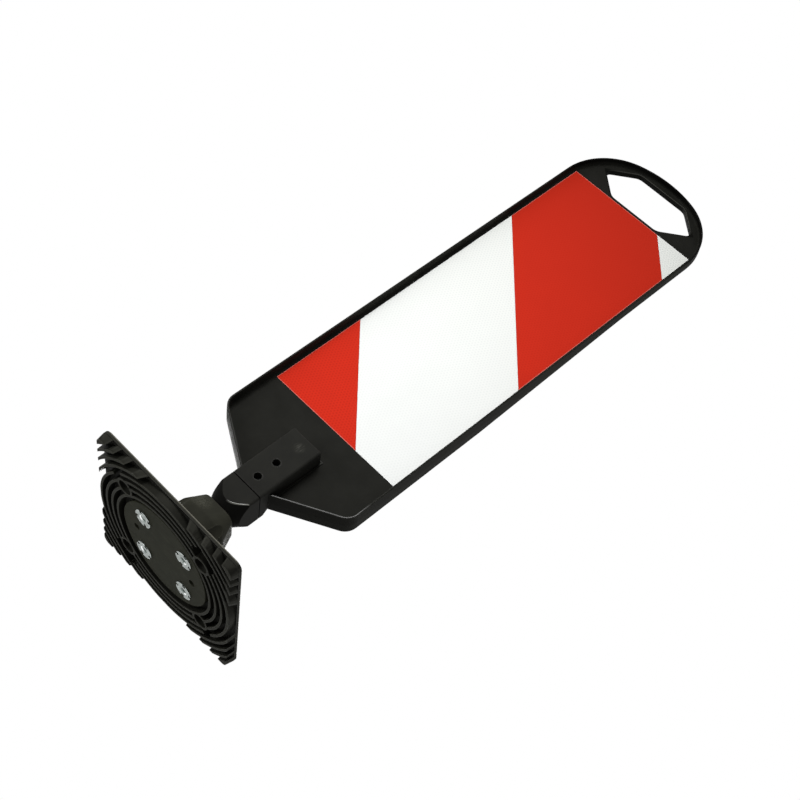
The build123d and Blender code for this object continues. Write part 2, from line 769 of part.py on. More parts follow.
with BuildPart() as film_white_corner:
    add(film_piece(stripes[3], stripes[4]))
film_white_corner.part.label = "film_white_corner"
export_step(film_white_corner.part, "parts/film_white_corner.step")
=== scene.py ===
from math import cos, pi, radians, sin, tan

import bmesh
import bpy
from mathutils import Matrix, Vector


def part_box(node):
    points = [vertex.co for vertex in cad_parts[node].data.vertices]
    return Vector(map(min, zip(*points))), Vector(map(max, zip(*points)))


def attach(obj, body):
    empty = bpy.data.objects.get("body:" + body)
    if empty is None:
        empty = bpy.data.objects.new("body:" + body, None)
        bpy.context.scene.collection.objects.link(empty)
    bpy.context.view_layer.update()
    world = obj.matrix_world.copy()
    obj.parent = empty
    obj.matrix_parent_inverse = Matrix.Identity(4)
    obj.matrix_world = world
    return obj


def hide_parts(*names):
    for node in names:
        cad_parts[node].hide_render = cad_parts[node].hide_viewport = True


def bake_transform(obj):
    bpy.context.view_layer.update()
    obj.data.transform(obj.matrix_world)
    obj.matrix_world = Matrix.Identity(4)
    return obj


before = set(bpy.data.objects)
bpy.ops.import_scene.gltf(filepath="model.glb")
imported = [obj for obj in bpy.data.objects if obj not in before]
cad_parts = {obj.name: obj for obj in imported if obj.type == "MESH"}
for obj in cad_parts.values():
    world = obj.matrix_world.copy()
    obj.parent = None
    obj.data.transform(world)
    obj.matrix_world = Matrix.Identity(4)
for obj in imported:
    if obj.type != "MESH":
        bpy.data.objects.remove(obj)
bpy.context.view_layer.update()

# Foot plate: one moulding of dark, slightly olive plastic, a flat top on concentric ribs.
# The ribs keep the fine spark-eroded grain of the mould, and their edges are rubbed paler, with a
# painted highlight.


def colour(red, green, blue):
    """A colour picked on a screen, as the light that a shader works with."""
    parts = [value / 255 for value in (red, green, blue)]
    light = [part / 12.92 if part < 0.04045 else ((part + 0.055) / 1.055) ** 2.4 for part in parts]
    return (*light, 1.0)


def add(tree, kind, inputs=None, **settings):
    """A node with its settings, its inputs either set or wired to another node's output."""
    made = tree.nodes.new(kind)
    for name, value in settings.items():
        setattr(made, name, value)
    for name, value in (inputs or {}).items():
        if isinstance(value, bpy.types.NodeSocket):
            tree.links.new(value, made.inputs[name])
        else:
            made.inputs[name].default_value = value
    return made


def sums(tree, operation, *values):
    """The result of one step of arithmetic on values or outputs."""
    inputs = dict(enumerate(values))
    return add(tree, "ShaderNodeMath", inputs, operation=operation).outputs[0]


def meet(tree, share, *others):
    """The share of a surface where all these masks hold. A plain number among them weakens it."""
    for other in others:
        share = sums(tree, "MULTIPLY", share, other)
    return share


def spread(tree, value, low, high, to_low=0.0, to_high=1.0):
    """A value taken from one range to another, held at the ends."""
    inputs = {
        "Value": value, "From Min": low, "From Max": high, "To Min": to_low, "To Max": to_high}
    return add(tree, "ShaderNodeMapRange", inputs).outputs[0]


def blend_colours(tree, share, first, second):
    """The second colour laid over the first by a share."""
    # Taken by number, because the sockets for colours share their names with those for values
    first_colour, second_colour, mixed = 6, 7, 2
    inputs = {"Factor": share, first_colour: first, second_colour: second}
    return add(tree, "ShaderNodeMix", inputs, data_type="RGBA").outputs[mixed]


def object_place(tree):
    """Where a point of the surface lies, in metres."""
    return add(tree, "ShaderNodeTexCoord").outputs["Object"]


def object_axes(tree):
    """The same place as X, Y and Z."""
    return add(tree, "ShaderNodeSeparateXYZ", {0: object_place(tree)}).outputs


def distance(tree, first, second=(0, 0, 0)):
    """How far one point lies from another."""
    points = {0: first, 1: second}
    return add(tree, "ShaderNodeVectorMath", points, operation="DISTANCE").outputs["Value"]


def start_group(name, inputs, outputs):
    """An empty node group with these inputs at their usual values, and these outputs by kind."""
    tree = bpy.data.node_groups.new(name, "ShaderNodeTree")
    for label, value in inputs.items():
        socket = tree.interface.new_socket(label, in_out="INPUT", socket_type="NodeSocketFloat")
        socket.default_value = value
    for label, kind in outputs.items():
        tree.interface.new_socket(label, in_out="OUTPUT", socket_type=kind)
    return tree, tree.nodes.new("NodeGroupInput").outputs, tree.nodes.new("NodeGroupOutput").inputs


def lay(tree, effect, **values):
    """A shared effect placed in a finish, with its own values: what it puts out."""
    return add(tree, "ShaderNodeGroup", values, node_tree=effect).outputs


def start_finish(name):
    """A new material with its nodes and its shader."""
    made = bpy.data.materials.new(name)
    made.use_nodes = True
    tree = made.node_tree
    return made, tree, tree.nodes["Principled BSDF"]


def reopen(finish):
    """A finish taken up again for more marks: its nodes, its shader and its colour so far."""
    tree = finish.node_tree
    surface = tree.nodes["Principled BSDF"]
    return tree, surface, surface.inputs["Base Color"].links[0].from_socket


def dress(node_name, finish):
    """Gives the solid of a node its finish."""
    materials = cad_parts[node_name].data.materials
    materials.clear()
    materials.append(finish)


# The grain that a mould leaves: fine pits, and broad patches where the plastic cooled otherwise
grain_tree, given, out = start_group(
    "moulded_grain",
    {"Grain": 0.0006, "Patch": 0.03},
    {"Height": "NodeSocketFloat", "Patches": "NodeSocketFloat"},
)
patch_low, patch_high = 0.32, 0.68
place = object_place(grain_tree)
grains_per_metre = sums(grain_tree, "DIVIDE", 1.0, given["Grain"])
patches_per_metre = sums(grain_tree, "DIVIDE", 1.0, given["Patch"])
fine = add(grain_tree, "ShaderNodeTexNoise", {
    "Vector": place, "Scale": grains_per_metre, "Detail": 3.0, "Roughness": 0.6})
broad = add(grain_tree, "ShaderNodeTexNoise", {
    "Vector": place, "Scale": patches_per_metre, "Detail": 5.0, "Roughness": 0.55})
patches = spread(grain_tree, broad.outputs["Fac"], patch_low, patch_high)
grain_tree.links.new(fine.outputs["Fac"], out["Height"])
grain_tree.links.new(patches, out["Patches"])

# Edges that are rounded off, and where the outer ones are rubbed and carry a painted highlight
edge_tree, given, out = start_group(
    "rubbed_and_highlit_edge",
    {"Radius": 0.0008, "Reach": 0.0012},
    {"Normal": "NodeSocketVector", "Rubbed and highlit": "NodeSocketFloat"},
)
edge_samples = 6
open_at_edge, open_on_face = 0.75, 0.97
breaks_per_metre = 220.0
break_low, break_high, least_rub = 0.3, 0.7, 0.35
rounded = add(edge_tree, "ShaderNodeBevel", {"Radius": given["Radius"]}, samples=edge_samples)
inside = add(
    edge_tree, "ShaderNodeAmbientOcclusion", {"Distance": given["Reach"]},
    samples=edge_samples, inside=True)
patchy = add(edge_tree, "ShaderNodeTexNoise", {
    "Vector": object_place(edge_tree), "Scale": breaks_per_metre, "Detail": 4.0})
broken = spread(edge_tree, patchy.outputs["Fac"], break_low, break_high, least_rub)
near_edge = spread(edge_tree, inside.outputs["AO"], open_at_edge, open_on_face, 1.0, 0.0)
edge_tree.links.new(rounded.outputs[0], out["Normal"])
edge_tree.links.new(meet(edge_tree, near_edge, broken), out["Rubbed and highlit"])

# A pale smear of slanting streaks round one spot, where the piece was set down or knocked
scuff_tree, given, out = start_group(
    "scuff", {"X": 0.0, "Y": 0.0, "Z": 0.0, "Reach": 0.006}, {"Scuffed": "NodeSocketFloat"})
streak_slant = radians(35)
streaks_across, streaks_along = 900, 150
streak_low, streak_high = 0.4, 0.7
least_scrape, most_scrape = 0.05, 0.9
place = object_place(scuff_tree)
spot = add(scuff_tree, "ShaderNodeCombineXYZ", {name: given[name] for name in "XYZ"}).outputs[0]
close = spread(scuff_tree, distance(scuff_tree, place, spot), 0.0, given["Reach"], 1.0, 0.0)
slanted = add(scuff_tree, "ShaderNodeMapping", {
    "Vector": place, "Rotation": (0, streak_slant, 0),
    "Scale": (streaks_across, streaks_across, streaks_along)}).outputs[0]
streaks = add(scuff_tree, "ShaderNodeTexNoise", {
    "Vector": slanted, "Scale": 1.0, "Detail": 2.0, "Roughness": 0.6})
scraped = spread(
    scuff_tree, streaks.outputs["Fac"], streak_low, streak_high, least_scrape, most_scrape)
scuff_tree.links.new(meet(scuff_tree, close, scraped), out["Scuffed"])

# A level band, such as a seam, in which the finishes lay dirt, dust and painted shade
seam_tree, given, out = start_group(
    "level_band", {"Height": 0.1, "Reach": 0.001}, {"Band": "NodeSocketFloat"})
# A near-black for dirt and for painted shade
shade_and_dirt = colour(8, 8, 7)
off_seam = sums(seam_tree, "SUBTRACT", object_axes(seam_tree)["Z"], given["Height"])
off_seam = sums(seam_tree, "ABSOLUTE", off_seam)
half_reach = sums(seam_tree, "MULTIPLY", given["Reach"], 0.5)
in_seam = spread(seam_tree, off_seam, half_reach, given["Reach"], 1.0, 0.0)
seam_tree.links.new(in_seam, out["Band"])


def moulded_plastic(
        name, deep, pale, rubbed_and_highlit, grain, rough, rub_and_highlight, edge_radius, pit_depth, gloss, polish,
        scuffs=()):
    """Plastic between two tones with the mould's grain, paler and smoother where edges are rubbed,
    with a painted highlight there too.

    Each scuff is a spot as X, Y and Z, and how far it reaches.
    """
    scuff_share = 0.7
    rough_change = 0.04
    made, tree, surface = start_finish(name)
    skin = lay(tree, grain_tree, Grain=grain)
    edge = lay(tree, edge_tree, Radius=edge_radius)
    body = blend_colours(tree, skin["Patches"], deep, pale)
    for x, y, z, reach in scuffs:
        scuffed = lay(tree, scuff_tree, X=x, Y=y, Z=z, Reach=reach)["Scuffed"]
        body = blend_colours(tree, meet(tree, scuffed, scuff_share), body, rubbed_and_highlit)
    # Edges rubbed paler, with a painted highlight on them
    body = blend_colours(tree, meet(tree, edge["Rubbed and highlit"], rub_and_highlight), body, rubbed_and_highlit)
    tree.links.new(body, surface.inputs["Base Color"])
    matt = spread(tree, skin["Patches"], 0.0, 1.0, rough - rough_change, rough + rough_change)
    tree.links.new(matt, surface.inputs["Roughness"])
    tree.links.new(meet(tree, edge["Rubbed and highlit"], polish), surface.inputs["Coat Weight"])
    surface.inputs["Coat Roughness"].default_value = 0.2
    surface.inputs["IOR"].default_value = gloss
    pits = add(tree, "ShaderNodeBump", {
        "Height": skin["Height"], "Normal": edge["Normal"], "Distance": pit_depth, "Strength": 0.6})
    tree.links.new(pits.outputs[0], surface.inputs["Normal"])
    return made


# A low index keeps the matt skin dark where it is seen at a flat angle
matt_gloss = 1.06
foot_plastic = moulded_plastic(
    "foot_plastic",
    deep=colour(31, 31, 27), pale=colour(38, 38, 34), rubbed_and_highlit=colour(86, 86, 78),
    grain=0.0005, rough=0.5, rub_and_highlight=0.3, edge_radius=0.0007, pit_depth=0.00008,
    gloss=matt_gloss, polish=0.1,
    scuffs=[
        (0.106, -0.092, 0.004, 0.010), (0.060, -0.109, 0.008, 0.016),
        (-0.102, -0.102, 0.004, 0.008)],
)

# The rib tips that stand on the road are scraped paler, and dust and painted light lie under the
# plate between the ribs. Painted light makes the outer wall paler, a painted shadow lies along the
# underside by that wall, and a painted highlight makes a pale line along the wall's top edge
plate_underside = 0.010
tip_height, tip_share, tip_tone = 0.0008, 0.6, colour(70, 70, 62)
underside_reach, dust_and_light_share, dust_and_light_tone = 0.0003, 0.8, colour(52, 52, 49)
wall_depth, wall_light_share, wall_light_tone = 0.0025, 0.6, colour(56, 56, 51)
line_depth, line_height, highlight_line_share, highlight_line_tone = 0.0011, 0.0022, 0.7, colour(125, 123, 112)
base_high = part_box("base_plate")[1]
wall_middle = base_high.x - wall_depth / 2
tree, surface, body = reopen(foot_plastic)
axes = object_axes(tree)
across, along = (sums(tree, "ABSOLUTE", axes[name]) for name in "XY")
outward = sums(tree, "MAXIMUM", across, along)
tips = spread(tree, axes["Z"], tip_height / 2, tip_height, tip_share, 0.0)
underside_band = lay(tree, seam_tree, Height=plate_underside, Reach=underside_reach)["Band"]
wall = spread(tree, outward, base_high.x - wall_depth, wall_middle, 0.0, wall_light_share)
painted_rim_shadow = spread(tree, outward, base_high.x - 2 * wall_depth / 3, wall_middle)
outermost = spread(tree, outward, base_high.x - line_depth, base_high.x - line_depth / 2)
near_top = spread(
    tree, axes["Z"], base_high.z - line_height, base_high.z - line_height / 2, 0.0, highlight_line_share)
# Dust and painted light on the underside between the ribs
body = blend_colours(tree, meet(tree, underside_band, dust_and_light_share), body, dust_and_light_tone)
# Painted light: the outer wall paler
body = blend_colours(tree, wall, body, wall_light_tone)
# Painted shadow along the underside by the outer wall
body = blend_colours(tree, meet(tree, underside_band, painted_rim_shadow), body, shade_and_dirt)
body = blend_colours(tree, tips, body, tip_tone)
# Painted highlight: a pale line along the top of the outer wall
body = blend_colours(tree, meet(tree, outermost, near_top), body, highlight_line_tone)
tree.links.new(body, surface.inputs["Base Color"])
dress("base_plate", foot_plastic)

# Disc: a turned plate of harder, olive plastic that closes the foot from below.
# Its face shows faint turning marks, and scratches from standing on the road.
disc_deep, disc_pale, scratch_tone = colour(51, 52, 42), colour(59, 60, 49), colour(96, 95, 84)
# Two runs of scratches: the turn of each in degrees, and how many there are to a metre along it
scratch_runs = ((38, 30), (-24, 42))
scratches_across = 900
scratch_low, scratch_high, scratch_share = 0.62, 0.78, 0.5
turning_rate = 5200.0
disc_plastic, tree, surface = start_finish("disc_plastic")
skin = lay(tree, grain_tree, Grain=0.0008, Patch=0.02)
edge = lay(tree, edge_tree, Radius=0.0006)
scratches = []
for turn, scratches_along in scratch_runs:
    turned = add(tree, "ShaderNodeMapping", {
        "Vector": object_place(tree), "Rotation": (0, 0, radians(turn)),
        "Scale": (scratches_along, scratches_across, scratches_along)}).outputs[0]
    marks = add(tree, "ShaderNodeTexNoise", {"Vector": turned, "Scale": 1.0, "Detail": 3.0})
    scratches.append(
        spread(tree, marks.outputs["Fac"], scratch_low, scratch_high, 0.0, scratch_share))
axes = object_axes(tree)
level = add(tree, "ShaderNodeCombineXYZ", {"X": axes["X"], "Y": axes["Y"]}).outputs[0]
turning = sums(tree, "SINE", sums(tree, "MULTIPLY", distance(tree, level), turning_rate))
body = blend_colours(tree, skin["Patches"], disc_deep, disc_pale)
body = blend_colours(tree, sums(tree, "MAXIMUM", *scratches), body, scratch_tone)
tree.links.new(body, surface.inputs["Base Color"])
surface.inputs["Roughness"].default_value = 0.5
surface.inputs["IOR"].default_value = matt_gloss
ridges = add(tree, "ShaderNodeBump", {
    "Height": turning, "Normal": edge["Normal"], "Distance": 0.000006, "Strength": 0.3})
pits = add(tree, "ShaderNodeBump", {
    "Height": skin["Height"], "Normal": ridges.outputs[0], "Distance": 0.00006, "Strength": 0.5})
tree.links.new(pits.outputs[0], surface.inputs["Normal"])
dress("bottom_disc", disc_plastic)

# Prong nuts: pressed from zinc-plated sheet, with four notches where the prongs were bent up.
# The plating is cloudy and dulled by handling, and bright at its edges.
bloom_tree, given, out = start_group(
    "zinc_bloom", {"Size": 0.004}, {"Cloud": "NodeSocketFloat", "Grit": "NodeSocketFloat"})
cloud_low, cloud_high = 0.3, 0.7
grits_per_cloud = 9.0
place = object_place(bloom_tree)
clouds_per_metre = sums(bloom_tree, "DIVIDE", 1.0, given["Size"])
grits_per_metre = sums(bloom_tree, "MULTIPLY", clouds_per_metre, grits_per_cloud)
cloud = add(bloom_tree, "ShaderNodeTexNoise", {
    "Vector": place, "Scale": clouds_per_metre, "Detail": 6.0, "Roughness": 0.65})
grit = add(bloom_tree, "ShaderNodeTexVoronoi", {"Vector": place, "Scale": grits_per_metre})
clouded = spread(bloom_tree, cloud.outputs["Fac"], cloud_low, cloud_high)
bloom_tree.links.new(clouded, out["Cloud"])
bloom_tree.links.new(grit.outputs["Distance"], out["Grit"])


def plated_metal(name, dull, bright, polished, rough, bloom_size, edge_radius, grit_depth):
    """Plated or bare metal: cloudy between two tones, smoother where bright, polished at edges."""
    rough_change = 0.06
    made, tree, surface = start_finish(name)
    bloom = lay(tree, bloom_tree, Size=bloom_size)
    edge = lay(tree, edge_tree, Radius=edge_radius, Reach=edge_radius)
    body = blend_colours(tree, bloom["Cloud"], dull, bright)
    body = blend_colours(tree, edge["Rubbed and highlit"], body, polished)
    tree.links.new(body, surface.inputs["Base Color"])
    sheen = spread(tree, bloom["Cloud"], 0.0, 1.0, rough + rough_change, rough - rough_change)
    tree.links.new(sheen, surface.inputs["Roughness"])
    surface.inputs["Metallic"].default_value = 1.0
    grit = add(tree, "ShaderNodeBump", {
        "Height": bloom["Grit"], "Normal": edge["Normal"], "Distance": grit_depth, "Strength": 0.4})
    tree.links.new(grit.outputs[0], surface.inputs["Normal"])
    return made


zinc_look = {
    "dull": colour(92, 100, 96), "bright": colour(158, 166, 162),
    "polished": colour(238, 242, 240),
    "rough": 0.26, "bloom_size": 0.004, "edge_radius": 0.0005, "grit_depth": 0.00006,
}
nut_zinc = plated_metal("nut_zinc", **zinc_look)

# A painted glint lies at the mouth of each thread, on one side
flange_radius = 0.012
mouth_radius = 0.0058
mouth_inside = 0.8 * mouth_radius
glint_tone = colour(253, 255, 254)
nut_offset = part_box("tee_nuts")[1].x - flange_radius
tree, surface, body = reopen(nut_zinc)
axes = object_axes(tree)
folded_x, folded_y = (sums(tree, "ABSOLUTE", axes[name]) for name in "XY")
folded = add(tree, "ShaderNodeCombineXYZ", {"X": folded_x, "Y": folded_y}).outputs[0]
from_thread = distance(tree, folded, (nut_offset, nut_offset, 0))
painted_highlight_side = spread(tree, folded_x, nut_offset, nut_offset + mouth_radius / 2)
in_mouth = spread(tree, from_thread, mouth_inside, mouth_radius, 1.0, 0.0)
body = blend_colours(tree, meet(tree, painted_highlight_side, in_mouth), body, glint_tone)
tree.links.new(body, surface.inputs["Base Color"])
dress("tee_nuts", nut_zinc)

# Collar: the flaring neck that is screwed to the foot, moulded in an olive plastic like the disc's.
# Its faces are scuffed where the knuckle and other feet have knocked it.
collar_plastic = moulded_plastic(
    "collar_plastic",
    deep=colour(41, 41, 35), pale=colour(50, 50, 43), rubbed_and_highlit=colour(98, 98, 88),
    grain=0.0006, rough=0.5, rub_and_highlight=0.3, edge_radius=0.0008, pit_depth=0.00007,
    gloss=matt_gloss, polish=0.15,
    scuffs=[(-0.012, -0.030, 0.066, 0.014), (0.030, 0.0, 0.062, 0.014)],
)
dress("neck_collar", collar_plastic)

# Collar screws and their washers: M8 hexagon screws of zinc-plated steel, heads chamfered on top.
# The ends come through the prong nuts and show their thread from below.


def head_profile(angle, flats, height):
    """Radius and height of a head's rings at one angle, from its dished top down to its seat."""
    centre_radius = 0.0005
    dish_depth = 0.0003
    seat_bevel = 0.0004
    inner = flats / 2 * 0.94
    dish_radius = inner * 0.82
    lip_radius = inner * 0.86
    turn = (angle + pi / 6) % (pi / 3) - pi / 6
    outer = flats / 2 / cos(pi / 6 - abs(turn))
    shoulder = height - (outer - inner) * tan(radians(30))
    return [
        (centre_radius, height - dish_depth), (dish_radius, height - dish_depth),
        (lip_radius, height), (inner, height), (outer, shoulder), (outer, seat_bevel), (inner, 0.0),
    ]


def mesh_piece(name, mesh):
    """A new piece of the scene with this mesh."""
    data = bpy.data.meshes.new(name)
    mesh.to_mesh(data)
    mesh.free()
    piece = bpy.data.objects.new(name, data)
    bpy.context.scene.collection.objects.link(piece)
    return piece


def hexagon_screws(name, flats, head_height, shank_radius, pitch, length, spots):
    """One mesh of like screws.

    Each spot is a matrix that puts the head's seat in its place, with the head along +Z before it.
    """
    sides = 96
    rings_per_turn = 8
    thread_depth = 0.54 * pitch
    end_chamfer = thread_depth * 1.3
    steps = int(length / (pitch / rings_per_turn))
    angles = [2 * pi * side / sides for side in range(sides)]
    profiles = [head_profile(angle, flats, head_height) for angle in angles]
    rings = [
        [Vector((r * cos(a), r * sin(a), z)) for a, (r, z) in zip(angles, points)]
        for points in zip(*profiles)]
    for step in range(steps + 1):
        depth = length * step / steps
        ring = []
        for angle in angles:
            phase = (depth / pitch + angle / (2 * pi)) % 1
            radius = shank_radius - thread_depth * abs(2 * phase - 1)
            radius = min(radius, shank_radius - end_chamfer + length - depth)
            ring.append(Vector((radius * cos(angle), radius * sin(angle), -depth)))
        rings.append(ring)
    mesh = bmesh.new()
    for spot in spots:
        made = [[mesh.verts.new(spot @ point) for point in ring] for ring in rings]
        for upper, lower in zip(made, made[1:]):
            for side in range(sides):
                follow = (side + 1) % sides
                mesh.faces.new((upper[side], lower[side], lower[follow], upper[follow]))
        mesh.faces.new(made[0])
        mesh.faces.new(reversed(made[-1]))
    bmesh.ops.recalc_face_normals(mesh, faces=mesh.faces)
    return mesh_piece(name, mesh)


zinc = plated_metal("zinc", **zinc_look)
m8_washer_radius = 0.008
washer_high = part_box("collar_washers")[1]
screw_low, screw_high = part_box("collar_bolts")
m8_offset = washer_high.x - m8_washer_radius
seats = [(sx * m8_offset, sy * m8_offset, washer_high.z) for sx in (-1, 1) for sy in (-1, 1)]
collar_screws = hexagon_screws(
    "collar_screws", flats=0.013, head_height=screw_high.z - washer_high.z,
    shank_radius=0.004, pitch=0.00125, length=washer_high.z - screw_low.z,
    spots=[Matrix.Translation(seat) for seat in seats],
)
collar_screws.data.materials.append(zinc)
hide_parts("collar_bolts")
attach(collar_screws, "base")
dress("collar_washers", zinc)

# Spring and the plates that it works between: a coil of oiled spring steel, zinc-plated washers.
# They sit inside the neck, and the spring keeps the cable tight.
spring_steel = plated_metal(
    "spring_steel",
    dull=colour(72, 74, 78), bright=colour(108, 110, 114), polished=colour(140, 142, 146),
    rough=0.34, bloom_size=0.003, edge_radius=0.0002, grit_depth=0.00003,
)
dress("compression_spring", spring_steel)
dress("spring_washer", zinc)
dress("upper_washer", zinc)

# Ferrules: soft aluminium tubes, pressed onto the cable's two ends.
# Pressing leaves them dull and a little dented.
ferrule_metal = plated_metal(
    "ferrule_metal",
    dull=colour(150, 151, 153), bright=colour(190, 191, 193), polished=colour(214, 215, 217),
    rough=0.4, bloom_size=0.002, edge_radius=0.0004, grit_depth=0.00008,
)
dress("lower_ferrule", ferrule_metal)
dress("upper_ferrule", ferrule_metal)

# Tension cable: six steel strands laid round a seventh. It pulls the knuckle down into its seat,
# and bends where the knuckle tips out of it.
cable_low, cable_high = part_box("tension_cable")
cable_radius = (cable_high.x - cable_low.x) / 2
strand_radius = cable_radius / 3
outer_strands = 6
lay_length = 0.03
bend_length = 0.0085
bend_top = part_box("seat_sleeve")[0].z
bend_middle = bend_top - bend_length / 2
bend_bottom = bend_top - bend_length


def cable_strands(name, low, high):
    """Seven strands between two heights, with rings close together where the cable bends."""
    sides = 10
    straight_step, bend_step = 0.001, 0.00025
    least_step = 1e-6
    angles = [2 * pi * side / sides for side in range(sides)]
    edge = [Vector((strand_radius * cos(a), strand_radius * sin(a), 0)) for a in angles]
    heights = []
    height = low
    while height < high - least_step:
        heights.append(height)
        height += bend_step if bend_bottom <= height < bend_top else straight_step
    heights.append(high)
    mesh = bmesh.new()
    for strand in range(outer_strands + 1):
        reach = 2 * strand_radius if strand else 0.0
        rings = []
        for height in heights:
            swing = 2 * pi * (height / lay_length + strand / outer_strands)
            centre = Vector((reach * cos(swing), reach * sin(swing), height))
            rings.append([mesh.verts.new(centre + point) for point in edge])
        for lower, upper in zip(rings, rings[1:]):
            for side in range(sides):
                follow = (side + 1) % sides
                corners = (lower[side], lower[follow], upper[follow], upper[side])
                mesh.faces.new(corners).smooth = True
        mesh.faces.new(list(reversed(rings[0])))
        mesh.faces.new(rings[-1])
    return mesh_piece(name, mesh)


cable_steel = plated_metal(
    "cable_steel",
    dull=colour(120, 122, 124), bright=colour(170, 172, 174), polished=colour(196, 198, 200),
    rough=0.36, bloom_size=0.003, edge_radius=0.0002, grit_depth=0.00003,
)
lower_cable = cable_strands("lower_cable", cable_low.z, bend_middle)
upper_cable = cable_strands("upper_cable", bend_middle, cable_high.z)
for piece in (lower_cable, upper_cable):
    piece.data.materials.append(cable_steel)
    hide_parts("tension_cable")
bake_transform(lower_cable)
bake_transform(upper_cable)

# Seat sleeve: a thin cone of slippery dark grey plastic between the collar and the knuckle.
# It is turned, rides loose in the socket and is worn smooth.
bearing_plastic = moulded_plastic(
    "bearing_plastic",
    deep=colour(40, 40, 39), pale=colour(50, 50, 48), rubbed_and_highlit=colour(84, 84, 80),
    grain=0.0009, rough=0.34, rub_and_highlight=0.6, edge_radius=0.0003, pit_depth=0.00003,
    gloss=1.25, polish=0.3,
)
dress("seat_sleeve", bearing_plastic)

# Knuckle: a square block of black plastic with a smoother skin than the foot, cut to a cone below.
# The cone is darkened with painted shade, and a painted highlight lies on the edge above it.
# Dirt and painted shade darken the seam between the knuckle and the arm.
black_look = {
    "deep": colour(34, 34, 32), "pale": colour(41, 41, 38), "rubbed_and_highlit": colour(92, 92, 86),
    "grain": 0.0005, "rough": 0.48, "rub_and_highlight": 0.1, "edge_radius": 0.0008, "pit_depth": 0.00006,
    "gloss": matt_gloss,
}
knuckle_plastic = moulded_plastic("knuckle_plastic", polish=0.0, **black_look)
seam_height = 0.1175
cone_rim_radius, cone_rim_height = 0.0171, 0.078
cone_slope = 0.59
cone_start = cone_rim_radius - cone_slope * cone_rim_height
cone_shade_depth, cone_shade_share, cone_shade_tone = 0.0004, 0.75, colour(14, 14, 13)
arc_highlight_width, arc_highlight_share, arc_highlight_tone = 0.0008, 0.7, colour(140, 140, 132)
knuckle_low, knuckle_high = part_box("knuckle")
tree, surface, body = reopen(knuckle_plastic)
axes = object_axes(tree)
level = add(tree, "ShaderNodeCombineXYZ", {"X": axes["X"], "Y": axes["Y"]}).outputs[0]
cone_radius = sums(tree, "MULTIPLY_ADD", axes["Z"], cone_slope, cone_start)
inward = sums(tree, "SUBTRACT", cone_radius, distance(tree, level))
painted_cone_shade = spread(tree, inward, cone_shade_depth / 4, cone_shade_depth, cone_shade_share, 0.0)
near_cone = spread(tree, inward, arc_highlight_width / 2, arc_highlight_width, 1.0, 0.0)
behind_front = sums(tree, "SUBTRACT", axes["Y"], knuckle_low.y)
near_front = spread(tree, behind_front, arc_highlight_width / 2, arc_highlight_width, 1.0, 0.0)
painted_highlight_side = spread(tree, axes["X"], 0.0, knuckle_high.x / 2, 0.0, arc_highlight_share)
painted_arc_highlight = meet(tree, near_cone, near_front, painted_highlight_side)
# Dirt and painted shade in the seam
seam = lay(tree, seam_tree, Height=seam_height)["Band"]
# Painted shade on the cone
body = blend_colours(tree, painted_cone_shade, body, cone_shade_tone)
# Painted highlight on the edge above the cone, on its right
body = blend_colours(tree, painted_arc_highlight, body, arc_highlight_tone)
body = blend_colours(tree, seam, body, shade_and_dirt)
tree.links.new(body, surface.inputs["Base Color"])
tree.links.new(painted_arc_highlight, surface.inputs["Coat Weight"])
dress("knuckle", knuckle_plastic)

# Arm: a moulding of the same black plastic that grips the board's foot between two tongues.
# Its long edges are crisp and catch the light, and its face is scuffed near its end.
arm_plastic = moulded_plastic(
    "arm_plastic", polish=0.05, scuffs=[(0.002, -0.023, 0.194, 0.008)], **black_look)
tree, surface, body = reopen(arm_plastic)
# Dirt and painted shade in the seam
seam = lay(tree, seam_tree, Height=seam_height)["Band"]
tree.links.new(blend_colours(tree, seam, body, shade_and_dirt), surface.inputs["Base Color"])
dress("clamp_arm", arm_plastic)

# Cross pin, clamp screws, their washers and the barrel nuts: steel, blackened or zinc plated.
# The screws go in from the back, and the nuts lie deep in the arm's front holes.
black_steel = plated_metal(
    "black_steel",
    dull=colour(34, 34, 35), bright=colour(58, 58, 60), polished=colour(92, 92, 94),
    rough=0.4, bloom_size=0.002, edge_radius=0.0003, grit_depth=0.00003,
)
m6_washer_radius = 0.006
washer_low, washer_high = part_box("clamp_washers")
screw_low, screw_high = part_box("clamp_bolts")
clamp_heights = (washer_low.z + m6_washer_radius, washer_high.z - m6_washer_radius)
head_to_back = Matrix.Rotation(radians(-90), 4, "X")
seats = [Matrix.Translation((0, washer_high.y, height)) for height in clamp_heights]
clamp_screws = hexagon_screws(
    "clamp_screws", flats=0.010, head_height=screw_high.y - washer_high.y,
    shank_radius=0.003, pitch=0.001, length=washer_high.y - screw_low.y,
    spots=[seat @ head_to_back for seat in seats],
)
clamp_screws.data.materials.append(zinc)
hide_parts("clamp_bolts")
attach(clamp_screws, "panel")
dress("clamp_washers", zinc)
dress("clamp_barrels", black_steel)
dress("retaining_pin", black_steel)

# Board: one large moulding of black plastic, with a fine matt grain on its floor.
# The lip of its rim is rubbed smooth along the foot, and shines there as a thin line. Painted shade
# darkens the arch and the walls and lower edge of the hand hole, and a painted highlight lies on
# its upper edge.
board_plastic = moulded_plastic(
    "board_plastic",
    deep=colour(30, 30, 27), pale=colour(37, 37, 34), rubbed_and_highlit=colour(80, 80, 74),
    grain=0.0005, rough=0.5, rub_and_highlight=0.12, edge_radius=0.0009, pit_depth=0.00006,
    gloss=matt_gloss, polish=0.05,
)
tree, surface, body = reopen(board_plastic)
axes = object_axes(tree)

